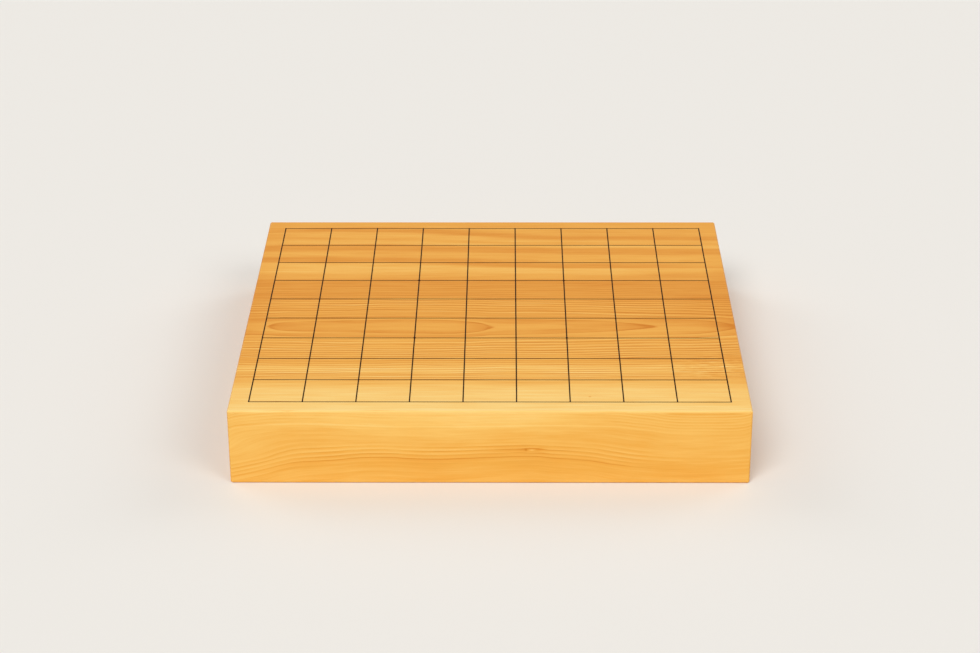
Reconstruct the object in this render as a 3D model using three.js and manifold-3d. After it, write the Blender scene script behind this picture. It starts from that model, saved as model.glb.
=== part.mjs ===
// Shogi board: one solid block of pale softwood, with a 9 by 9 grid of raised black lacquer
// lines and four star points on its playing face.
//
// Millimetres, +Z up. The origin is the middle of the underside. X runs along the long side, which
// is also the grain and the direction from player to player, and Y runs along the short side.

import * as THREE from "three";
import { mergeVertices } from "three/addons/utils/BufferGeometryUtils.js";
import Module from "manifold-3d";

// The block
const boardLength = 364;
const boardWidth = 333;
const boardThickness = 57;
const edgeChamfer = 0.9;        // the fine bevel planed along every edge

// The grid: bare wood from the middle of an outer line to the side of the board
const endMargin = 13.9;
const sideMargin = 13.9;

// The lacquer
const lineWidth = 0.95;
const fileLineHeight = 0.2;     // the lines laid first, along the board
const crossingGap = 0.02;       // between a file line and what passes over it
const crossingCover = 0.12;     // lacquer of a rank line above each file line
const starRadius = 1.1;
const starRise = 0.16;          // lacquer of a star point above the rank line beneath it
const cutOverrun = 0.5;         // how far a cut runs past the face that it opens

// Counts, which the game sets
const squaresPerSide = 9;
const starLines = [3, 6];       // lines counted from 0 at one side
const beadSteps = 5;            // curve steps across the top of a line
const starSides = 28;
const starRings = 5;

const lineCount = squaresPerSide + 1;
const gridLength = boardLength - 2 * endMargin;
const gridWidth = boardWidth - 2 * sideMargin;
const squareLength = gridLength / squaresPerSide;
const squareWidth = gridWidth / squaresPerSide;

const slotWidth = lineWidth + 2 * crossingGap;
const fileSlotHeight = fileLineHeight + crossingGap;
const rankLineHeight = fileSlotHeight + crossingCover;
const rankSlotHeight = rankLineHeight + crossingGap;
const starHeight = rankSlotHeight + starRise;

const wood = new THREE.MeshStandardMaterial({ color: 0xe9bd72, roughness: 0.5, metalness: 0 });
const lacquer = new THREE.MeshStandardMaterial({ color: 0x15110e, roughness: 0.25, metalness: 0 });

const wasm = await Module();
wasm.setup();

// A geometry as a solid: position only, vertices shared, triangles without area left out.
function toSolid(geometry) {
  const bare = geometry.clone();
  bare.deleteAttribute("normal");
  bare.deleteAttribute("uv");
  const merged = mergeVertices(bare);
  const corners = merged.index.array;
  const kept = [];
  for (let i = 0; i < corners.length; i += 3) {
    const [a, b, c] = corners.slice(i, i + 3);
    if (a !== b && b !== c && c !== a) kept.push(a, b, c);
  }
  return new wasm.Manifold(new wasm.Mesh({
    numProp: 3,
    vertProperties: new Float32Array(merged.attributes.position.array),
    triVerts: new Uint32Array(kept),
  }));
}

function toGeometry(solid) {
  const mesh = solid.getMesh();
  const geometry = new THREE.BufferGeometry();
  geometry.setAttribute("position", new THREE.BufferAttribute(mesh.vertProperties, 3));
  geometry.setIndex(new THREE.BufferAttribute(mesh.triVerts, 1));
  geometry.computeVertexNormals();
  return geometry;
}

// Where line number i lies along a grid that is centred on the board.
function lineOffset(i, square) {
  return (i - squaresPerSide / 2) * square;
}

// The block: a rectangle with its four upright edges bevelled, extruded with the same bevel
// around the top and the bottom.
function blockGeometry() {
  const x = boardLength / 2;
  const y = boardWidth / 2;
  const outline = new THREE.Shape();
  outline.moveTo(-x + edgeChamfer, -y);
  outline.lineTo(x - edgeChamfer, -y);
  outline.lineTo(x, -y + edgeChamfer);
  outline.lineTo(x, y - edgeChamfer);
  outline.lineTo(x - edgeChamfer, y);
  outline.lineTo(-x + edgeChamfer, y);
  outline.lineTo(-x, y - edgeChamfer);
  outline.lineTo(-x, -y + edgeChamfer);
  outline.closePath();
  const geometry = new THREE.ExtrudeGeometry(outline, {
    depth: boardThickness - 2 * edgeChamfer,
    bevelThickness: edgeChamfer,
    bevelSize: edgeChamfer,
    bevelOffset: -edgeChamfer,
    bevelSegments: 1,
  });
  geometry.translate(0, 0, edgeChamfer);
  return geometry;
}

// A bead of lacquer along X, standing on z = 0, with a half ellipse as its section.
function beadGeometry(length, height) {
  const section = new THREE.Shape();
  section.absellipse(0, 0, lineWidth / 2, height, 0, Math.PI);
  section.closePath();
  const geometry = new THREE.ExtrudeGeometry(section, {
    depth: length,
    curveSegments: beadSteps,
    bevelEnabled: false,
  });
  geometry.translate(0, 0, -length / 2);
  geometry.rotateX(Math.PI / 2);
  geometry.rotateZ(Math.PI / 2);
  return geometry;
}

// The room that a line beneath needs: a box along Y at the given place, open downwards.
function slotSolid(x, height, reach) {
  const depth = height + cutOverrun;
  const slot = new THREE.BoxGeometry(slotWidth, 2 * (reach + cutOverrun), depth);
  slot.translate(x, 0, height - depth / 2);
  return toSolid(slot);
}

// A rank line passes over every file line, which leaves a low slot in its underside.
function rankLineGeometry() {
  let line = toSolid(beadGeometry(gridWidth + lineWidth, rankLineHeight));
  for (let i = 0; i < lineCount; i += 1) {
    line = line.subtract(slotSolid(lineOffset(i, squareWidth), fileSlotHeight, lineWidth / 2));
  }
  return toGeometry(line);
}

// A star point is a drop of lacquer over a crossing: a quarter ellipse turned about its axis,
// with room beneath for the file line along X and the rank line along Y.
function starGeometry() {
  const profile = [new THREE.Vector2(0, 0)];
  for (let i = 0; i < starRings; i += 1) {
    const angle = (i / starRings) * (Math.PI / 2);
    profile.push(new THREE.Vector2(starRadius * Math.cos(angle), starHeight * Math.sin(angle)));
  }
  profile.push(new THREE.Vector2(0, starHeight));
  const drop = new THREE.LatheGeometry(profile, starSides);
  drop.rotateX(Math.PI / 2);
  const overRank = slotSolid(0, rankSlotHeight, starRadius);
  const overFile = slotSolid(0, fileSlotHeight, starRadius).rotate([0, 0, 90]);
  return toGeometry(toSolid(drop).subtract(overRank).subtract(overFile));
}

function addPiece(parent, name, geometry, material) {
  const piece = new THREE.Mesh(geometry, material);
  piece.name = name;
  parent.add(piece);
  return piece;
}

const board = new THREE.Group();
addPiece(board, "board_block", blockGeometry(), wood);

// The lacquer stands on the playing face.
const playingFace = new THREE.Group();
playingFace.position.z = boardThickness;
board.add(playingFace);

const fileLine = beadGeometry(gridLength + lineWidth, fileLineHeight);
const rankLine = rankLineGeometry();
for (let i = 0; i < lineCount; i += 1) {
  const number = String(i + 1).padStart(2, "0");
  const file = addPiece(playingFace, `file_line_${number}`, fileLine, lacquer);
  file.position.y = lineOffset(i, squareWidth);
  const rank = addPiece(playingFace, `rank_line_${number}`, rankLine, lacquer);
  rank.position.x = lineOffset(i, squareLength);
  rank.rotation.z = Math.PI / 2;
}

const star = starGeometry();
let starNumber = 0;
for (const row of starLines) {
  for (const column of starLines) {
    starNumber += 1;
    const point = addPiece(playingFace, `star_point_${starNumber}`, star, lacquer);
    point.position.set(lineOffset(column, squareLength), lineOffset(row, squareWidth), 0);
  }
}

export default board;
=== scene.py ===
"""A shogi board: one block of kaya wood with raised black lacquer lines and star points."""

from math import radians
from types import SimpleNamespace

import bmesh
import bpy
from mathutils import Matrix, Vector


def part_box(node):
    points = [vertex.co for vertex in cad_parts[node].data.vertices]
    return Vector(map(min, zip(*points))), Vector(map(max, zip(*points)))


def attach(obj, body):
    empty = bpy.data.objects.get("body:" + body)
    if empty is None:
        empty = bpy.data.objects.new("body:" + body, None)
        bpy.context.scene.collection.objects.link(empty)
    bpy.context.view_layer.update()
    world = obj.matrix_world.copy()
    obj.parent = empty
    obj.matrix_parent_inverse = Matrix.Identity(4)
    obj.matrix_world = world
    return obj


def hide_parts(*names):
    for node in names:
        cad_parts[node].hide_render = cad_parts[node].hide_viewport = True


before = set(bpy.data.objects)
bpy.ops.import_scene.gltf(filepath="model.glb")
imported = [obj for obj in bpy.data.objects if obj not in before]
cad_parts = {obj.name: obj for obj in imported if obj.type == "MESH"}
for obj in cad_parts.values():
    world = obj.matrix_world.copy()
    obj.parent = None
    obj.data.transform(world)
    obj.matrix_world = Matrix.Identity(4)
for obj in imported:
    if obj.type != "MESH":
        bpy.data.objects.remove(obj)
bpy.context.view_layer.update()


# The block
# One slab of kaya, a pale golden softwood, sawn flat out of a big log with its long side along
# the grain. Its faces are planed and waxed, and a fine bevel is planed along every edge.

MM = 0.001                       # one millimetre in metres
ARRIS = 0.12 * MM                # the plane's own crisp edges, rubbed round
BRUISES = [                      # dents in the lower front edge: mm from the left end, then size
    (22, (1.6, 0.7, 0.9)),
    (34.5, (0.8, 0.35, 0.45)),
]

block_low, block_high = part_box("board_block")
LENGTH, WIDTH, THICKNESS = [round((high - low) / MM, 3) for low, high in zip(block_low, block_high)]


def link(name, mesh):
    """A new object that holds this mesh, unturned and at the origin."""
    piece = bpy.data.objects.new(name, mesh)
    bpy.context.scene.collection.objects.link(piece)
    return piece


def plain_mesh(piece):
    """What the piece's modifiers make of it, as a plain mesh."""
    return bpy.data.meshes.new_from_object(piece.evaluated_get(bpy.context.evaluated_depsgraph_get()))


def block_mesh():
    """The frame's block with its arrises rubbed round and the bruises cut out."""
    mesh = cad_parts["board_block"].data.copy()
    mesh.materials.clear()
    maker = bmesh.new()
    maker.from_mesh(mesh)
    bmesh.ops.remove_doubles(maker, verts=maker.verts, dist=0.01 * MM)
    bmesh.ops.dissolve_limit(maker, angle_limit=radians(1), verts=maker.verts, edges=maker.edges)
    bmesh.ops.bevel(maker, geom=maker.edges, offset=ARRIS, segments=3, profile=0.5, affect="EDGES")
    maker.to_mesh(mesh)
    maker.free()

    maker = bmesh.new()
    for from_left, size in BRUISES:
        place = Vector((block_low.x + from_left * MM, block_low.y, block_low.z + size[2] * MM / 2))
        shape = Matrix.Translation(place) @ Matrix.Diagonal(Vector(size) * MM).to_4x4()
        bmesh.ops.create_icosphere(maker, subdivisions=2, radius=1, matrix=shape)
    bruise_mesh = bpy.data.meshes.new("bruises")
    maker.to_mesh(bruise_mesh)
    maker.free()

    whole, bruises = link("whole", mesh), link("bruises", bruise_mesh)
    cut = whole.modifiers.new("bruises", "BOOLEAN")
    cut.object = bruises
    cut.solver = "EXACT"
    finished = plain_mesh(whole)
    for spent in (whole, bruises):
        bpy.data.objects.remove(spent)
    return finished


# The log that the slab came from. Year rings run round a heart that lies below the slab, under a
# line FIGURE_FROM_FAR from the far side. All lengths here are in mm.
FIGURE_FROM_FAR = 198
HEART_DEPTH = 100                # below the playing face

# How the grain sways off its course: the length of its waves along, across and up, then how far
# they swing the same three ways. The front face keeps only a share of it.
SWAYS = [((110, 38, 38), (0, 5, 4)), ((26, 9, 9), (0, 1.6, 0.3))]
FRONT_SWAY = 0.12

# Years out from the ring that just touches the playing face, at distances from the heart
YEARS = [(40, -62), (100, 0), (104, 4.1), (107.5, 6.75), (112.5, 10.3), (131, 20.7), (230, 99.5)]
YEAR_SPAN = (-62, 105)           # all years of the slab lie within it
RING_CURVE = 1.7                 # the power by which a ring darkens through its year
RING_MEAN = 0.37                 # its mean, taken off so that rings leave their band's tone as it is
RING_WEIGHTS = (0.6, 1.2)        # single rings are fainter or stronger at random

# How dark the wood is, year by year, where it comes out as the tongue and as the two pointed rings
# after it, and just beyond them
FIGURE = [
    (-1, -0.1), (-0.65, -0.1), (-0.52, -0.08), (-0.35, 0.12), (-0.14, 0.3), (-0.06, 0.6), (-0.01, 0.75),
    (0.01, -0.2), (0.15, -0.2), (0.3, 0.12), (0.85, 0.2), (0.94, 0.42), (0.99, 0.5), (1.01, -0.12),
    (1.6, 0), (1.9, 0.12), (1.96, 0.42), (1.99, 0.5), (2.01, -0.15), (2.3, -0.1), (2.8, 0.1), (3, 0.35),
]

# How far the rings rise towards the playing face along the board. The hump shows on top as a
# closed tongue, and the fall after it as pointed rings, one inside the other.
RISE = [
    (0, -0.1), (16, 0), (20, 0.08), (26, 0.2), (50, 0.37), (75, 0.47), (110, 0.61), (150, 0.6),
    (165, 0.42), (175, 0.21), (184, 0), (200, -0.05), (220, -0.08), (245, -0.27), (270, -0.56),
    (287, -0.79), (303, -0.93), (317, -1.02), (330, -1.1), (340, -1.28), (350, -1.52), (364, -1.84),
]
FIGURE_REACH = 30                # how far down the playing face's figure steers the grain

# How far the bands of the far side draw towards the middle on the board's right
DRAW = [
    (0, 8), (33, 16), (45, 9), (58, 6), (70, 6), (77, 8), (86, 12.5), (92, 10), (102, 0), (333, 0),
]
DRAW_SETS_IN = (80, 255)         # along the board

# How the grain falls along the front face from its height mid-board, in its lower and upper half
LOWER_FALL = [
    (0, 14.5), (25, 9), (37, 5.6), (50, 3.2), (62, 2.4), (75, 1.6), (88, 0.2), (98, -0.4), (112, -0.4),
    (125, 0.5), (144, 1.1), (162, 0.4), (181, -1), (200, -1.9), (212, -2.1), (225, -0.9), (250, 0.9),
    (270, 4.1), (290, 6.4), (310, 7.6), (332, 7.8), (364, 6.1),
]
UPPER_FALL = [(0, 3.5), (19, 0), (50, -1.4), (119, 1), (257, -0.6), (288, 1.9), (326, 5.2), (364, 1)]
LOWER_SETS_IN = (12, 38)         # down from the playing face

# Where the tables for the front face set in, so that they leave the playing face as it is
FRONT_SETS_IN = (-110, -155)     # counted from the board's middle, with its front at -166.5
FRONT_EDGE = 2                   # down from the playing face

# How dark the wood is, from 0 to 1, at distances from the far side of the playing face. Each
# band keeps to its rings through the whole slab. Towards the near side it grows paler, partly as
# paler wood and partly as a painted sheen that brightens towards the near edge.
TOP_DARKNESS_AND_SHEEN = [
    (0, 0.6), (6, 0.58), (11, 0.62), (15, 0.75), (18, 0.76), (23, 0.54), (30, 0.52), (35, 0.6), (42, 0.46),
    (46, 0.52), (50, 0.74), (55, 0.74), (60, 0.62), (66, 0.54), (69, 0.56), (73, 0.72), (77, 0.76),
    (80, 0.72), (84, 0.5), (92, 0.42), (99, 0.43), (104, 0.54), (110, 0.6), (115, 0.7), (119, 0.78),
    (130, 0.75), (147, 0.74), (153, 0.66), (182, 0.66), (190, 0.62), (206, 0.62), (216, 0.58),
    (248, 0.6), (256, 0.58), (262, 0.5), (266, 0.37), (271, 0.37), (275, 0.52), (283, 0.5), (288, 0.4),
    (289.7, 0.47), (291.5, 0.36), (297, 0.27), (304, 0.21), (318, 0.19), (333, 0.03),
]

# The front face has its own, at distances down from the playing face
FRONT_DARKNESS = [(0, 0.2), (8, 0.24), (20, 0.37), (30, 0.43), (37, 0.49), (43, 0.48), (57, 0.44)]

# How much darker it is towards the two ends, along the playing face and the top of the front, and
# which bands of the playing face take part
ENDS = [(0, 0.09), (20, 0.03), (40, 0), (230, 0), (300, 0.03), (331, 0.07), (364, 0.13)]
ENDS_SHARE = [
    (0, 0), (80, 0), (95, 1), (110, 0.6), (133, 0.1), (150, 1), (205, 1), (230, 0.4), (260, 0.6),
    (333, 0.4),
]
FRONT_ENDS = [
    (0, 0.18), (20, 0.15), (60, 0.07), (100, 0), (200, 0), (270, 0.16), (344, 0.22), (364, 0.22),
]
UPPER_FADES = (4, 28)            # how far down the top of the front gives way to the rest

# How plainly single rings show, from 0 to 1: at distances from the far side of the playing face,
# then down the front, and along the top of the front
RINGS_SHOW = [
    (0, 0.2), (58, 0.2), (66, 0.1), (76, 0.1), (90, 0.1), (102, 0.3), (117, 0.35), (148, 0.5), (153, 0.8),
    (182, 0.8), (188, 0.5), (208, 0.5), (214, 0.9), (248, 0.8), (253, 0.6), (268, 0.6), (274, 0.9),
    (283, 0.8), (287, 0.4), (310, 0.45), (333, 0.2),
]
FRONT_RINGS_SHOW = [
    (0, 0.1), (4, 0.1), (7, 0.03), (24, 0.06), (27, 0.25), (29, 0.47), (35.5, 0.52), (37, 0.2), (40, 0.1),
    (57, 0.1),
]
UPPER_RINGS_SHOW = [(0, 0.25), (30, 0.15), (60, 0.04), (250, 0.04), (290, 0.28), (364, 0.32)]
RINGS_STRENGTH = 0.95            # of them all
RING_COMES_AND_GOES = (0.4, 1.3)       # a ring's share where it is faintest and where it is plainest

# Two rings that stand out on the front, one dark and one pale: mm from the heart, half width and
# darkness. How plain they are along the board goes for the rings beside them too.
FRONT_RINGS = [(148.8, 0.22, 0.2), (161.2, 0.35, -0.12)]
FRONT_RINGS_LAST = [(0, 0.7), (80, 1), (270, 1), (310, 0.25), (364, 0.2)]

# Spots that run with the grain: their length, width and depth, and how strongly they show
CLOUDS, CLOUDS_SHOW = (45, 7, 7), 0.18
STREAKS, STREAKS_SHOW, FRONT_STREAKS_SHOW = (60, 2.2, 2.2), 0.35, 0.24

# Fibres the same way. Real ones are 0.03 mm wide, too fine to show, so they are drawn 0.4 mm wide.
FIBRES, FIBRES_SHOW = (15, 0.4, 0.4), 0.25

# Near the front right of the playing face the fibres curl, which mottles the wood in spots. The
# curl's place and half widths are counted as those of the marks below.
CURL, CURL_REACH = (344, 265, 0), (42, 22, 30)
CURL_FADES = (1.2, 0.4)          # in half widths from its place
CURLY_SPOTS, CURLY_SPOTS_SHOW = (7, 2, 2), 0.7

# The pin knot on the front: its place, how far around it the rings part, and how strongly
KNOT = (211.3, 333, 30.5)
KNOT_REACH = (5, 12, 2)
KNOT_PARTS = 1.4

# Marks in the wood. Each has its place in mm from the left end, from the far side and down from
# the playing face, then its half widths the same three ways, and its darkness.
MARKS = [
    (KNOT, (5.5, 5, 1.4), 0.15),                     # the knot's dark body
    (KNOT, (2.5, 5, 0.65), -0.5),                    # its pale heart
    ((207.2, 333, 30.4), (0.8, 5, 0.9), 0.25),       # a dark fleck on the left of the heart
    ((217, 333, 29.4), (3, 5, 0.9), 0.12),           # and darker wood on its right
    ((205, 333, 30), (22, 12, 3), 0.12),             # the darker wood around it
    ((15, 333, 52), (70, 20, 8), -0.07),             # paler wood low on the front's left
    ((270, 333, 22), (40, 20, 12), 0.05),            # darker wood higher up on its right
    ((2, 40, 0), (12, 75, 6), 0.05),                 # darker wood along the left end
    ((360, 101, 0), (12, 7, 6), 0.09),               # and in one stretch of the right end
    ((4, 17, 0), (22, 4, 6), -0.14),                 # paler wood beside the far left corner
    ((4, 29, 0), (26, 4, 6), 0.12),                  # and a dark streak next to it
    ((258, 276, 0), (32, 4, 6), -0.1),               # a paler streak among the near bands
    ((352, 88, 0), (36, 4, 6), -0.14),               # where a dark streak of the far side fades
    ((322, 105, 0), (34, 5, 6), 0.12),               # where the pale band beside it fades too
    ((25, 206, 0), (20, 6, 5), -0.1),                # paler wood along the tongue's left end
    ((366, 201, 0), (14, 12, 5), 0.14),              # darker wood beyond the last pointed ring
    ((252, 311, 0), (0.7, 0.6, 0.6), 0.6),           # a speck on the playing face
]

# The two ends are end grain, which drinks in more wax and looks darker. The bevels along the
# sides are darkened too, as painted shade that tones down the highlight the lamps leave on them.
END_SETS_IN = (0.7, 0.3)         # from the end, within its bevel
END_DARKER, END_RINGS_DARKER = 0.14, 0.35
BEVEL_REACH = 1                  # a touch more than the bevel's own width
BEVEL_PAINTED_SHADE = 0.15

# Wax evens the surface out, but the fibres stand up a hair, and so does the hard summer wood
RELIEF, RELIEF_STRENGTH = 0.03 * MM, 0.35
SUMMER_STANDS = 0.5              # its share of the fibres' height
SATIN, FIBRES_DULL = 0.5, 0.2    # the roughness, and how far it changes with the fibres

# From the palest wood to the darkest
TONES = [(0, "#FCDC90"), (0.25, "#F8C66B"), (0.5, "#EFAE4D"), (0.75, "#E3983A"), (1, "#D38022")]
FRONT_PAINTED_LESS_SHEEN = 0.018           # painted light: the front is more saturated, as it catches less sheen than the playing face


def node(tree, kind, inputs=None, **settings):
    """Adds one node with its settings. A node or socket given as an input is linked, a value is set."""
    new = tree.nodes.new(kind)
    for name, value in settings.items():
        setattr(new, name, value)
    for socket, value in (inputs or {}).items():
        if isinstance(value, bpy.types.Node):
            value = value.outputs[0]
        if isinstance(value, bpy.types.NodeSocket):
            tree.links.new(value, new.inputs[socket])
        else:
            new.inputs[socket].default_value = value
    return new


def linear(hex_colour):
    """An sRGB hex value as the linear colour, with alpha, that a shader takes."""
    shares = [int(hex_colour[i:i + 2], 16) / 255 for i in (1, 3, 5)]
    return [c / 12.92 if c <= 0.04045 else ((c + 0.055) / 1.055) ** 2.4 for c in shares] + [1]


def read_table(tree, points, place, height=(0, 1)):
    """The value of a table at a place. Its values lie within height."""
    first, last = points[0][0], points[-1][0]
    share = node(tree, "ShaderNodeMapRange", {"Value": place, "From Min": first, "From Max": last})
    table = node(tree, "ShaderNodeFloatCurve", {"Value": share})
    curve = table.mapping.curves[0]
    for i, (where, value) in enumerate(points):
        spot = ((where - first) / (last - first), (value - height[0]) / (height[1] - height[0]))
        if i < 2:
            curve.points[i].location = spot
        else:
            curve.points.new(*spot)
    table.mapping.update()
    return node(tree, "ShaderNodeMapRange", {"Value": table, "To Min": height[0], "To Max": height[1]})


def apart(tree, spot, centre, size):
    """How far a spot is from a centre along, across and down, counted in half widths."""
    off = node(tree, "ShaderNodeVectorMath", {0: spot, 1: centre}, operation="SUBTRACT")
    return node(tree, "ShaderNodeVectorMath", {0: off, 1: size}, operation="DIVIDE")


def bell(tree, off):
    """1 where off is 0, and smoothly down to 0 on both sides."""
    square = node(tree, "ShaderNodeMath", {0: off, 1: off}, operation="MULTIPLY")
    square = node(tree, "ShaderNodeMath", {0: square, 1: -1}, operation="MULTIPLY")
    return node(tree, "ShaderNodeMath", {0: square}, operation="EXPONENT")


def spotty(tree, place, size, detail=2, roughness=0.5):
    """Noise between -0.5 and 0.5, in spots that are about this long, wide and deep."""
    noise = node(tree, "ShaderNodeTexNoise", {
        "Vector": node(tree, "ShaderNodeMapping", {"Vector": place, "Scale": [1 / s for s in size]}),
        "Scale": 1, "Detail": detail, "Roughness": roughness,
    })
    return node(tree, "ShaderNodeMath", {0: noise, 1: 0.5}, operation="SUBTRACT")


def places(tree):
    """Where a spot of the wood lies, in mm, in each of the ways that the tables count."""
    mm = node(tree, "ShaderNodeMapping", {
        "Vector": node(tree, "ShaderNodeTexCoord").outputs["Object"], "Scale": (1 / MM, 1 / MM, 1 / MM),
    })
    at = SimpleNamespace(mm=mm)
    at.x, at.y, at.z = node(tree, "ShaderNodeSeparateXYZ", {0: mm}).outputs

    # Along from the left end, down from the playing face, away from the far side
    at.along = node(tree, "ShaderNodeMath", {0: at.x, 1: LENGTH / 2}, operation="ADD")
    at.down = node(tree, "ShaderNodeMath", {0: THICKNESS, 1: at.z}, operation="SUBTRACT")
    at.away = node(tree, "ShaderNodeMath", {0: WIDTH / 2, 1: at.y}, operation="SUBTRACT")
    at.spot = node(tree, "ShaderNodeCombineXYZ", {"X": at.along, "Y": at.away, "Z": at.down})

    # Out of reach of the playing face's figure, from 0 to 1
    at.deep = node(tree, "ShaderNodeMapRange", {
        "Value": at.down, "From Max": FIGURE_REACH,
    }, interpolation_type="SMOOTHSTEP")

    # Near the front face, from 0 to 1; none of the playing face counts
    near = node(tree, "ShaderNodeMapRange", {
        "Value": at.y, "From Min": FRONT_SETS_IN[0], "From Max": FRONT_SETS_IN[1],
    }, interpolation_type="SMOOTHSTEP")
    below = node(tree, "ShaderNodeMapRange", {
        "Value": at.down, "From Max": FRONT_EDGE,
    }, interpolation_type="SMOOTHSTEP")
    at.front = node(tree, "ShaderNodeMath", {0: near, 1: below}, operation="MULTIPLY")

    # Near the top of the front, from 0 to 1
    at.upper = node(tree, "ShaderNodeMapRange", {
        "Value": at.down, "From Min": UPPER_FADES[0], "From Max": UPPER_FADES[1], "To Min": 1, "To Max": 0,
    })
    return at


def swaying(tree, at):
    """How far the grain sways across and up, in long waves and in short ones."""
    sway = None
    for spread, swing in SWAYS:
        waves = node(tree, "ShaderNodeTexNoise", {
            "Vector": node(tree, "ShaderNodeMapping", {"Vector": at.mm, "Scale": [1 / s for s in spread]}),
            "Scale": 1, "Detail": 1,
        })
        waves = node(tree, "ShaderNodeVectorMath", {
            0: waves.outputs["Color"], 1: (0.5, 0.5, 0.5),
        }, operation="SUBTRACT")
        sway = node(tree, "ShaderNodeVectorMath", {
            0: waves, 1: swing, 2: sway or (0, 0, 0),
        }, operation="MULTIPLY_ADD")
    _, sideways, up = node(tree, "ShaderNodeSeparateXYZ", {0: sway}).outputs
    up = node(tree, "ShaderNodeMath", {0: up, 1: at.deep}, operation="MULTIPLY")
    steady = node(tree, "ShaderNodeMapRange", {"Value": at.front, "To Min": 1, "To Max": FRONT_SWAY})
    sideways = node(tree, "ShaderNodeMath", {0: sideways, 1: steady}, operation="MULTIPLY")
    up = node(tree, "ShaderNodeMath", {0: up, 1: steady}, operation="MULTIPLY")
    return sideways, up


def log_places(tree, at):
    """Adds where the spot lay in the log that the slab came from."""
    sway_across, sway_up = swaying(tree, at)

    # Across from the heart: the far bands draw in on the board's right, and less so further down
    right = node(tree, "ShaderNodeMapRange", {
        "Value": at.along, "From Min": DRAW_SETS_IN[0], "From Max": DRAW_SETS_IN[1],
    }, interpolation_type="SMOOTHSTEP")
    draw = read_table(tree, DRAW, at.away, height=(0, 20))
    draw = node(tree, "ShaderNodeMath", {0: draw, 1: right}, operation="MULTIPLY")
    shallow = node(tree, "ShaderNodeMath", {0: 1, 1: at.deep}, operation="SUBTRACT")
    draw = node(tree, "ShaderNodeMath", {0: draw, 1: shallow}, operation="MULTIPLY")
    across = node(tree, "ShaderNodeMath", {0: FIGURE_FROM_FAR, 1: at.away}, operation="SUBTRACT")
    across = node(tree, "ShaderNodeMath", {0: across, 1: draw}, operation="ADD")
    at.across = node(tree, "ShaderNodeMath", {0: across, 1: sway_across}, operation="ADD")

    # Up: the grain falls at the front, and clouds, streaks and fibres lie along with it
    lower = node(tree, "ShaderNodeMapRange", {
        "Value": at.down, "From Min": LOWER_SETS_IN[0], "From Max": LOWER_SETS_IN[1],
    }, interpolation_type="SMOOTHSTEP")
    fall = node(tree, "ShaderNodeMix", {
        "Factor": lower,
        2: read_table(tree, UPPER_FALL, at.along, height=(-4, 16)),
        3: read_table(tree, LOWER_FALL, at.along, height=(-4, 16)),
    })
    level = node(tree, "ShaderNodeMath", {0: fall, 1: at.front, 2: at.z}, operation="MULTIPLY_ADD")
    at.lie = node(tree, "ShaderNodeCombineXYZ", {"X": at.x, "Y": at.y, "Z": level})

    # The rings part round the pin knot
    off = apart(tree, at.spot, KNOT, KNOT_REACH)
    near = bell(tree, node(tree, "ShaderNodeVectorMath", {0: off}, operation="LENGTH").outputs["Value"])
    below = node(tree, "ShaderNodeSeparateXYZ", {0: off}).outputs["Z"]
    parted = node(tree, "ShaderNodeMath", {0: below, 1: near}, operation="MULTIPLY")
    level = node(tree, "ShaderNodeMath", {0: parted, 1: KNOT_PARTS, 2: level}, operation="MULTIPLY_ADD")
    at.depth = node(tree, "ShaderNodeMath", {0: THICKNESS, 1: level}, operation="SUBTRACT")

    # And they rise along the board, which brings out the tongue and the pointed rings
    rise = read_table(tree, RISE, at.along, height=(-2.2, 1))
    up = node(tree, "ShaderNodeMath", {0: level, 1: HEART_DEPTH - THICKNESS}, operation="ADD")
    up = node(tree, "ShaderNodeMath", {0: up, 1: rise}, operation="SUBTRACT")
    up = node(tree, "ShaderNodeMath", {0: up, 1: sway_up}, operation="ADD")
    section = node(tree, "ShaderNodeCombineXYZ", {"Y": at.across, "Z": up})
    at.radius = node(tree, "ShaderNodeVectorMath", {0: section}, operation="LENGTH").outputs["Value"]


def year_rings(tree, radius):
    """A year's ring goes from pale spring wood to darker summer wood and ends sharply."""
    years = read_table(tree, YEARS, radius, height=YEAR_SPAN)
    age = node(tree, "ShaderNodeMath", {0: years}, operation="FRACT")
    year = node(tree, "ShaderNodeMath", {0: years}, operation="FLOOR")
    summer = node(tree, "ShaderNodeMath", {0: age, 1: RING_CURVE}, operation="POWER")
    summer = node(tree, "ShaderNodeMath", {0: summer, 1: RING_MEAN}, operation="SUBTRACT")
    weight = node(tree, "ShaderNodeTexWhiteNoise", {"W": year}, noise_dimensions="1D")
    weight = node(tree, "ShaderNodeMapRange", {
        "Value": weight, "To Min": RING_WEIGHTS[0], "To Max": RING_WEIGHTS[1],
    })
    summer = node(tree, "ShaderNodeMath", {0: summer, 1: weight}, operation="MULTIPLY")
    first, last = FIGURE[0][0], FIGURE[-1][0]
    in_figure = node(tree, "ShaderNodeMath", {
        0: years, 1: (first + last) / 2, 2: (last - first) / 2,
    }, operation="COMPARE")
    return node(tree, "ShaderNodeMix", {
        "Factor": in_figure, 2: summer, 3: read_table(tree, FIGURE, years, height=(-0.2, 0.8)),
    })


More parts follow.
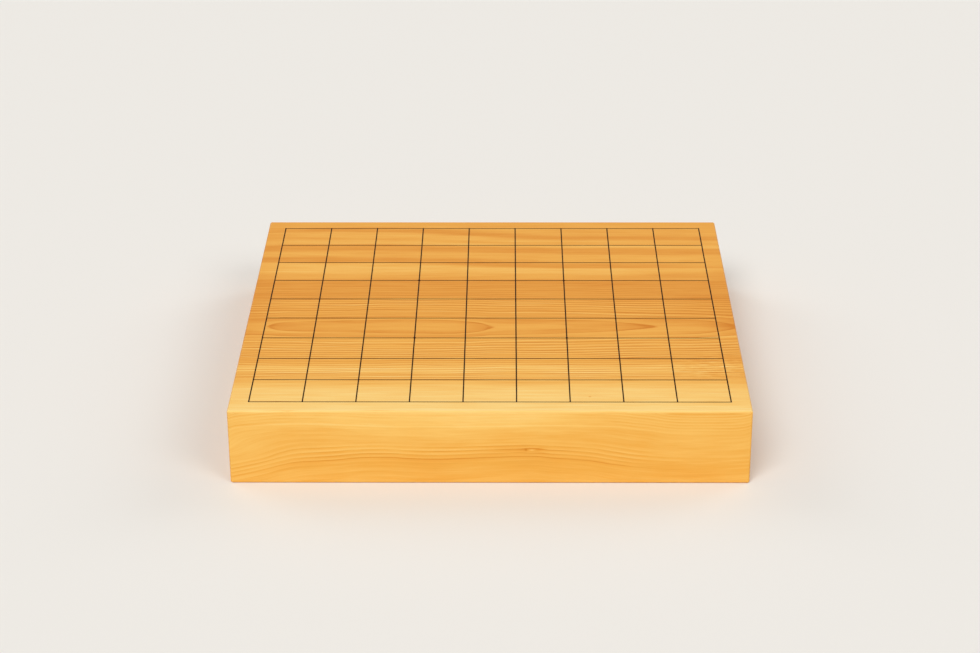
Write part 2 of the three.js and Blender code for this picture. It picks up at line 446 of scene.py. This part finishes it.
def home_band(tree, radius, across):
    """Where a ring comes out on the playing face, which tells the band that it belongs to."""
    square = node(tree, "ShaderNodeMath", {0: radius, 1: 2}, operation="POWER")
    square = node(tree, "ShaderNodeMath", {0: square, 1: HEART_DEPTH ** 2}, operation="SUBTRACT")
    square = node(tree, "ShaderNodeMath", {0: square}, operation="ABSOLUTE")
    reach = node(tree, "ShaderNodeMath", {0: square}, operation="SQRT")

    # Rings too near the heart to come out repeat the bands of the near side, the other way round
    side = node(tree, "ShaderNodeMath", {0: across}, operation="SIGN")
    inner = node(tree, "ShaderNodeMath", {0: radius, 1: HEART_DEPTH}, operation="LESS_THAN")
    side = node(tree, "ShaderNodeMix", {"Factor": inner, 2: side, 3: -1})
    reach = node(tree, "ShaderNodeMath", {0: reach, 1: side}, operation="MULTIPLY")
    return node(tree, "ShaderNodeMath", {0: FIGURE_FROM_FAR, 1: reach}, operation="SUBTRACT")


def band_darkness(tree, at, home):
    """How dark the wood is in its broad bands, with a painted sheen that pales the near side."""
    darkness = node(tree, "ShaderNodeMath", {
        0: read_table(tree, ENDS, at.along),
        1: read_table(tree, ENDS_SHARE, home),
        2: read_table(tree, TOP_DARKNESS_AND_SHEEN, home),
    }, operation="MULTIPLY_ADD")
    front_darkness = node(tree, "ShaderNodeMath", {
        0: read_table(tree, FRONT_ENDS, at.along),
        1: at.upper,
        2: read_table(tree, FRONT_DARKNESS, at.depth),
    }, operation="MULTIPLY_ADD")
    return node(tree, "ShaderNodeMix", {"Factor": at.front, 2: darkness, 3: front_darkness})


def rings_show(tree, at, home, lasting, cloud):
    """How plainly the rings show. Each comes and goes along its length."""
    front_show = read_table(tree, FRONT_RINGS_SHOW, at.depth)
    front_show = node(tree, "ShaderNodeMath", {0: front_show, 1: lasting}, operation="MULTIPLY")
    front_show = node(tree, "ShaderNodeMath", {
        0: read_table(tree, UPPER_RINGS_SHOW, at.along), 1: at.upper, 2: front_show,
    }, operation="MULTIPLY_ADD")
    show = node(tree, "ShaderNodeMix", {
        "Factor": at.front, 2: read_table(tree, RINGS_SHOW, home), 3: front_show,
    })
    patchy = node(tree, "ShaderNodeMapRange", {
        "Value": cloud, "From Min": -0.2, "From Max": 0.2,
        "To Min": RING_COMES_AND_GOES[0], "To Max": RING_COMES_AND_GOES[1],
    })
    show = node(tree, "ShaderNodeMath", {0: show, 1: patchy}, operation="MULTIPLY")
    return node(tree, "ShaderNodeMath", {0: show, 1: RINGS_STRENGTH}, operation="MULTIPLY")


def curly_spots(tree, at):
    """The mottle of the curly wood, within its own stretch."""
    off = apart(tree, at.spot, CURL, CURL_REACH)
    off = node(tree, "ShaderNodeVectorMath", {0: off}, operation="LENGTH").outputs["Value"]
    curly = node(tree, "ShaderNodeMapRange", {
        "Value": off, "From Min": CURL_FADES[0], "From Max": CURL_FADES[1],
    }, interpolation_type="SMOOTHSTEP")
    mottle = spotty(tree, at.lie, CURLY_SPOTS)
    return node(tree, "ShaderNodeMath", {0: mottle, 1: curly}, operation="MULTIPLY")


def front_rings(tree, at, lasting):
    """The rings that stand out on the front, each with its darkness."""
    plain = node(tree, "ShaderNodeMath", {0: at.front, 1: lasting}, operation="MULTIPLY")
    found = []
    for place, half_width, strength in FRONT_RINGS:
        off = node(tree, "ShaderNodeMath", {0: at.radius, 1: place}, operation="SUBTRACT")
        off = node(tree, "ShaderNodeMath", {0: off, 1: half_width}, operation="DIVIDE")
        ring = node(tree, "ShaderNodeMath", {0: bell(tree, off), 1: plain}, operation="MULTIPLY")
        found.append((ring, strength))
    return found


def marks(tree, at):
    """The knot and the other marks, each with its darkness."""
    found = []
    for centre, size, strength in MARKS:
        off = apart(tree, at.spot, centre, size)
        off = node(tree, "ShaderNodeVectorMath", {0: off}, operation="LENGTH").outputs["Value"]
        found.append((bell(tree, off), strength))
    return found


def end_grain(tree, at, summer):
    """Where the end grain shows, and its darkness, which is greater in summer wood."""
    from_middle = node(tree, "ShaderNodeMath", {0: at.x}, operation="ABSOLUTE")
    end = node(tree, "ShaderNodeMapRange", {
        "Value": from_middle,
        "From Min": LENGTH / 2 - END_SETS_IN[0], "From Max": LENGTH / 2 - END_SETS_IN[1],
    })
    darker = node(tree, "ShaderNodeMath", {
        0: summer, 1: END_RINGS_DARKER, 2: END_DARKER,
    }, operation="MULTIPLY_ADD")
    return end, darker


def side_bevels(tree, at):
    """1 on the bevels along the sides and 0 elsewhere."""
    from_side = node(tree, "ShaderNodeMath", {0: at.y}, operation="ABSOLUTE")
    height = node(tree, "ShaderNodeMath", {0: at.z, 1: THICKNESS / 2}, operation="SUBTRACT")
    height = node(tree, "ShaderNodeMath", {0: height}, operation="ABSOLUTE")
    to_edge = node(tree, "ShaderNodeMath", {0: from_side, 1: height}, operation="ADD")
    return node(tree, "ShaderNodeMath", {
        0: to_edge, 1: WIDTH / 2 + THICKNESS / 2 - BEVEL_REACH,
    }, operation="GREATER_THAN")


def kaya():
    """Kaya, planed and waxed: golden and satin, with fine rings and a finer fibre along the board."""
    material = bpy.data.materials.new("waxed_kaya")
    material.use_nodes = True
    tree = material.node_tree
    tree.nodes.clear()

    at = places(tree)
    log_places(tree, at)
    summer = year_rings(tree, at.radius)
    home = home_band(tree, at.radius, at.across)
    lasting = read_table(tree, FRONT_RINGS_LAST, at.along)
    cloud = spotty(tree, at.lie, CLOUDS)
    fibre = spotty(tree, at.lie, FIBRES, detail=5, roughness=0.6)
    streaks_show = node(tree, "ShaderNodeMapRange", {
        "Value": at.front, "To Min": STREAKS_SHOW, "To Max": FRONT_STREAKS_SHOW,
    })

    # To the broad bands' darkness comes that of everything finer, each with its strength
    darkness = band_darkness(tree, at, home)
    layers = [
        (summer, rings_show(tree, at, home, lasting, cloud)),
        (cloud, CLOUDS_SHOW),
        (spotty(tree, at.lie, STREAKS), streaks_show),
        (curly_spots(tree, at), CURLY_SPOTS_SHOW),
        *front_rings(tree, at, lasting),
        *marks(tree, at),
        (fibre, FIBRES_SHOW),
        end_grain(tree, at, summer),
        # The side bevels get painted shade, which tones down their highlight
        (side_bevels(tree, at), BEVEL_PAINTED_SHADE),
    ]
    for layer, strength in layers:
        darkness = node(tree, "ShaderNodeMath", {
            0: layer, 1: strength, 2: darkness,
        }, operation="MULTIPLY_ADD")

    colour = node(tree, "ShaderNodeValToRGB", {0: darkness})
    for i, (share, tone) in enumerate(TONES):
        stop = colour.color_ramp.elements[i] if i < 2 else colour.color_ramp.elements.new(share)
        stop.position = share
        stop.color = linear(tone)
    # The front is painted more saturated, which stands in for the lesser sheen that falls on it
    strong = node(tree, "ShaderNodeMath", {
        0: at.front, 1: FRONT_PAINTED_LESS_SHEEN, 2: 1,
    }, operation="MULTIPLY_ADD")
    colour = node(tree, "ShaderNodeHueSaturation", {"Color": colour, "Saturation": strong})

    relief = node(tree, "ShaderNodeMath", {
        0: summer, 1: SUMMER_STANDS, 2: fibre,
    }, operation="MULTIPLY_ADD")
    bump = node(tree, "ShaderNodeBump", {
        "Height": relief, "Strength": RELIEF_STRENGTH, "Distance": RELIEF,
    })
    roughness = node(tree, "ShaderNodeMath", {
        0: fibre, 1: FIBRES_DULL, 2: SATIN,
    }, operation="MULTIPLY_ADD")
    shader = node(tree, "ShaderNodeBsdfPrincipled", {
        "Base Color": colour, "Roughness": roughness, "Specular IOR Level": 0.3, "Normal": bump,
    })
    node(tree, "ShaderNodeOutputMaterial", {"Surface": shader})
    return material


block = link("kaya_block", block_mesh())
block.data.materials.append(kaya())
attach(block, "root")
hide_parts("board_block")


# The file lines
# Ten lines of black lacquer along the board. Each is laid with a long blade dipped in lacquer and
# dries as a low glossy bead, a touch uneven in width and height.

LINES = 10
WAVES_PER_METRE = 55             # how often a line's width, height and course change
SEED_STRIDE = 37.3               # far enough apart that no two lines have the same waves,
WAVE_STRIDE = 11.7               # nor a line's width, height and course
first_file, last_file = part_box("file_line_01")[0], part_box(f"file_line_{LINES:02d}")[0]
first_rank, last_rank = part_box("rank_line_01")[0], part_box(f"rank_line_{LINES:02d}")[0]
square_width = (last_file.y - first_file.y) / (LINES - 1)
square_length = (last_rank.x - first_rank.x) / (LINES - 1)


def black_lacquer():
    """Natural lacquer: a brownish black that dries to a deep soft gloss."""
    material = bpy.data.materials.new("black_lacquer")
    material.use_nodes = True
    tree = material.node_tree
    tree.nodes.clear()
    shader = node(tree, "ShaderNodeBsdfPrincipled", {
        "Base Color": linear("#2A1006"), "Roughness": 0.22, "Specular IOR Level": 0.1,
    })
    node(tree, "ShaderNodeOutputMaterial", {"Surface": shader})
    return material


lacquer = black_lacquer()


def new_tree(name, sizes):
    """An empty geometry tree with one named number for each size, its inputs and its output."""
    tree = bpy.data.node_groups.new(name, "GeometryNodeTree")
    for label, value in sizes.items():
        kind = "NodeSocketInt" if isinstance(value, int) else "NodeSocketFloat"
        tree.interface.new_socket(name=label, in_out="INPUT", socket_type=kind).default_value = value
    tree.interface.new_socket(name="Geometry", in_out="OUTPUT", socket_type="NodeSocketGeometry")
    return tree, node(tree, "NodeGroupInput").outputs, node(tree, "NodeGroupOutput")


def built(tree, sizes):
    """The plain mesh that a tree makes with these sizes."""
    carrier = link("carrier", bpy.data.meshes.new("carrier"))
    modifier = carrier.modifiers.new("tree", "NODES")
    modifier.node_group = tree
    for socket in tree.interface.items_tree:
        if socket.in_out == "INPUT" and socket.name in sizes:
            modifier[socket.identifier] = sizes[socket.name]
    mesh = plain_mesh(carrier)
    bpy.data.objects.remove(carrier)
    return mesh


def bead_tree():
    """A line of lacquer along X on z = 0: a tube in many slices, flat beneath and round on top."""
    tree, given, out = new_tree("lacquer_bead", {
        "Length": 0.3, "Width": 0.001, "Height": 0.0002, "Step": 0.0005, "Sides": 20,
        "Unevenness": 0.1, "Crossing pitch": 0.034, "Crossing spread": 0.0008, "Low share": 1.0,
        "Seed": 0,
    })
    slices = node(tree, "ShaderNodeMath", {0: given["Length"], 1: given["Step"]}, operation="DIVIDE")
    tube = node(tree, "GeometryNodeMeshCylinder", {
        "Radius": 1, "Depth": 1, "Vertices": given["Sides"], "Side Segments": slices,
    })
    here = node(tree, "GeometryNodeInputPosition")
    section_y, section_z, share = node(tree, "ShaderNodeSeparateXYZ", {0: here}).outputs
    along = node(tree, "ShaderNodeMath", {0: share, 1: given["Length"]}, operation="MULTIPLY")

    # Slow waves in width, height and course, each from its own stretch of noise
    waves = []
    for i in range(3):
        start = node(tree, "ShaderNodeMath", {
            0: given["Seed"], 1: SEED_STRIDE, 2: WAVE_STRIDE * i,
        }, operation="MULTIPLY_ADD")
        place = node(tree, "ShaderNodeMath", {
            0: along, 1: WAVES_PER_METRE, 2: start,
        }, operation="MULTIPLY_ADD")
        wave = node(tree, "ShaderNodeTexNoise", {
            "W": place, "Scale": 1, "Detail": 2,
        }, noise_dimensions="1D")
        wave = node(tree, "ShaderNodeMath", {0: wave, 1: 0.5}, operation="SUBTRACT")
        wave = node(tree, "ShaderNodeMath", {0: wave, 1: given["Unevenness"]}, operation="MULTIPLY")
        waves.append(wave)
    wide, high, course = waves
    wide = node(tree, "ShaderNodeMath", {0: wide, 1: 1}, operation="ADD")
    wide = node(tree, "ShaderNodeMath", {0: wide, 1: given["Width"]}, operation="MULTIPLY")
    y = node(tree, "ShaderNodeMath", {0: section_y, 1: 0.5, 2: course}, operation="MULTIPLY_ADD")
    y = node(tree, "ShaderNodeMath", {0: y, 1: wide}, operation="MULTIPLY")

    # The bead swells where it passes over the lines beneath it
    turn = node(tree, "ShaderNodeMath", {0: along, 1: given["Crossing pitch"]}, operation="DIVIDE")
    turn = node(tree, "ShaderNodeMath", {0: turn, 1: 0.5}, operation="ADD")
    nearest = node(tree, "ShaderNodeMath", {0: turn}, operation="ROUND")
    off = node(tree, "ShaderNodeMath", {0: turn, 1: nearest}, operation="SUBTRACT")
    off = node(tree, "ShaderNodeMath", {0: off, 1: given["Crossing pitch"]}, operation="MULTIPLY")
    off = node(tree, "ShaderNodeMath", {0: off, 1: given["Crossing spread"]}, operation="DIVIDE")
    tall = node(tree, "ShaderNodeMix", {"Factor": bell(tree, off), 2: given["Low share"], 3: 1})
    tall = node(tree, "ShaderNodeMath", {0: tall, 1: high}, operation="SUBTRACT")
    tall = node(tree, "ShaderNodeMath", {0: tall, 1: 1}, operation="MINIMUM")
    tall = node(tree, "ShaderNodeMath", {0: tall, 1: given["Height"]}, operation="MULTIPLY")
    z = node(tree, "ShaderNodeMath", {0: section_z, 1: 0}, operation="MAXIMUM")
    z = node(tree, "ShaderNodeMath", {0: z, 1: tall}, operation="MULTIPLY")

    place = node(tree, "ShaderNodeCombineXYZ", {"X": along, "Y": y, "Z": z})
    bead = node(tree, "GeometryNodeSetPosition", {"Geometry": tube.outputs["Mesh"], "Position": place})
    smooth = node(tree, "GeometryNodeSetShadeSmooth", {"Geometry": bead})
    real = node(tree, "GeometryNodeRealizeInstances", {"Geometry": smooth})
    dressed = node(tree, "GeometryNodeSetMaterial", {"Geometry": real, "Material": lacquer})
    tree.links.new(dressed.outputs[0], out.inputs[0])
    return tree


bead = bead_tree()


def lacquer_line(name, turn, sizes):
    """One finished line in place of its node."""
    low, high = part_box(name)
    length, width = (high.y - low.y, high.x - low.x) if turn else (high.x - low.x, high.y - low.y)
    mesh = built(bead, {"Length": length, "Width": width, "Height": high.z - low.z, **sizes})
    middle = (low + high) / 2
    mesh.transform(Matrix.Translation((middle.x, middle.y, low.z)) @ Matrix.Rotation(turn, 4, "Z"))
    line = link(f"lacquer_{name}", mesh)
    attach(line, "root")
    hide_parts(name)


for i in range(LINES):
    lacquer_line(f"file_line_{i + 1:02d}", 0, {
        "Step": 1.5 * MM, "Crossing pitch": square_length, "Low share": 0.75, "Seed": i,
    })


# The rank lines
# Ten more lines across the board, laid once the first ten are dry. Each rides up a little where
# it passes over them, and that is all that shows of the order they were laid in.

for i in range(LINES):
    lacquer_line(f"rank_line_{i + 1:02d}", radians(90), {
        "Step": 0.4 * MM, "Crossing pitch": square_width, "Low share": 0.7, "Seed": LINES + i,
    })


# The star points
# Four drops of the same lacquer, let fall on the crossings of the fourth and seventh lines. Each
# dries as a low round cap, a little off true.

STARS = 4
STAR_RADIUS = 1.1 * MM
STAR_STRIDE = 5.1                # far enough apart that no two drops have the same outline


def drop_tree():
    """A drop of lacquer on z = 0: a ball cut flat beneath, low on top and a little off round."""
    tree, given, out = new_tree("lacquer_drop", {
        "Radius": 0.001, "Height": 0.0005, "Unevenness": 0.08, "Seed": 0,
    })
    ball = node(tree, "GeometryNodeMeshUVSphere", {"Segments": 40, "Rings": 24, "Radius": 1})
    here = node(tree, "GeometryNodeInputPosition")
    ball_x, ball_y, ball_z = node(tree, "ShaderNodeSeparateXYZ", {0: here}).outputs
    start = node(tree, "ShaderNodeMath", {0: given["Seed"], 1: STAR_STRIDE}, operation="MULTIPLY")
    wave = node(tree, "ShaderNodeTexNoise", {
        "Vector": here, "W": start, "Scale": 0.9, "Detail": 1,
    }, noise_dimensions="4D")
    wave = node(tree, "ShaderNodeMath", {0: wave, 1: 0.5}, operation="SUBTRACT")
    wide = node(tree, "ShaderNodeMath", {0: wave, 1: given["Unevenness"], 2: 1}, operation="MULTIPLY_ADD")
    wide = node(tree, "ShaderNodeMath", {0: wide, 1: given["Radius"]}, operation="MULTIPLY")
    x = node(tree, "ShaderNodeMath", {0: ball_x, 1: wide}, operation="MULTIPLY")
    y = node(tree, "ShaderNodeMath", {0: ball_y, 1: wide}, operation="MULTIPLY")
    z = node(tree, "ShaderNodeMath", {0: ball_z, 1: 0}, operation="MAXIMUM")
    z = node(tree, "ShaderNodeMath", {0: z, 1: given["Height"]}, operation="MULTIPLY")
    place = node(tree, "ShaderNodeCombineXYZ", {"X": x, "Y": y, "Z": z})
    drop = node(tree, "GeometryNodeSetPosition", {"Geometry": ball.outputs["Mesh"], "Position": place})
    smooth = node(tree, "GeometryNodeSetShadeSmooth", {"Geometry": drop})
    real = node(tree, "GeometryNodeRealizeInstances", {"Geometry": smooth})
    dressed = node(tree, "GeometryNodeSetMaterial", {"Geometry": real, "Material": lacquer})
    tree.links.new(dressed.outputs[0], out.inputs[0])
    return tree


drop = drop_tree()
for i in range(STARS):
    low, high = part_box(f"star_point_{i + 1}")
    mesh = built(drop, {"Radius": STAR_RADIUS, "Height": high.z - low.z, "Seed": i})
    mesh.transform(Matrix.Translation(((low.x + high.x) / 2, (low.y + high.y) / 2, low.z)))
    star = link(f"lacquer_star_point_{i + 1}", mesh)
    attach(star, "root")
    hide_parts(f"star_point_{i + 1}")


# The floor
# A wide sheet of pale matt paper, big enough that its edge never comes near the board.

FLOOR_RADIUS = 9

floor_mesh = bpy.data.meshes.new("floor")
maker = bmesh.new()
bmesh.ops.create_circle(maker, cap_ends=True, radius=FLOOR_RADIUS, segments=64)
maker.to_mesh(floor_mesh)
maker.free()
floor = link("floor", floor_mesh)
paper = bpy.data.materials.new("matt_paper")
paper.use_nodes = True
paper.node_tree.nodes["Principled BSDF"].inputs["Base Color"].default_value = linear("#E9E6E1")
paper.node_tree.nodes["Principled BSDF"].inputs["Roughness"].default_value = 0.9
floor.data.materials.append(paper)


# The light
# Four wide soft lamps, far off so that they light board and floor evenly, and a pale room. The
# main one stands in front, a little to the left, and the others fill in the other sides.

world = bpy.data.worlds.new("pale_room")
bpy.context.scene.world = world
world.use_nodes = True
world.node_tree.nodes["Background"].inputs["Color"].default_value = linear("#F2F0EC")
world.node_tree.nodes["Background"].inputs["Strength"].default_value = 0.35


def soft_lamp(name, side, height, spread, strength):
    """A far lamp at this angle to the board's right end and above the floor, all in degrees."""
    light = bpy.data.lights.new(name, "SUN")
    light.angle = radians(spread)
    light.energy = strength
    lamp = bpy.data.objects.new(name, light)
    bpy.context.scene.collection.objects.link(lamp)
    lamp.rotation_euler = (0, radians(90 - height), radians(side))


soft_lamp("main_lamp", side=-113, height=51, spread=35, strength=1.82)
soft_lamp("right_lamp", side=-45, height=40, spread=30, strength=0.7)
soft_lamp("back_left_lamp", side=145, height=30, spread=30, strength=0.45)
soft_lamp("back_right_lamp", side=35, height=30, spread=30, strength=0.45)


# The camera
# It stands in front of the board and looks down on it, as in the photograph.

CAMERA_PLACE = (0.0109, -1.5876, 0.8058)
CAMERA_DOWN, CAMERA_TURN, CAMERA_ROLL = 25.695, 0.424, -0.155     # degrees
CAMERA_LENS, CAMERA_SENSOR = 85.33, 36                            # mm

camera_data = bpy.data.cameras.new("camera")
camera_data.lens = CAMERA_LENS
camera_data.sensor_width = CAMERA_SENSOR
camera_data.sensor_fit = "HORIZONTAL"
camera = bpy.data.objects.new("camera", camera_data)
bpy.context.scene.collection.objects.link(camera)
camera.matrix_world = (
    Matrix.Translation(CAMERA_PLACE)
    @ Matrix.Rotation(radians(CAMERA_TURN), 4, "Z")
    @ Matrix.Rotation(radians(90 - CAMERA_DOWN), 4, "X")
    @ Matrix.Rotation(radians(CAMERA_ROLL), 4, "Z")
)
bpy.context.scene.camera = camera
bpy.context.scene.view_settings.view_transform = "Standard"
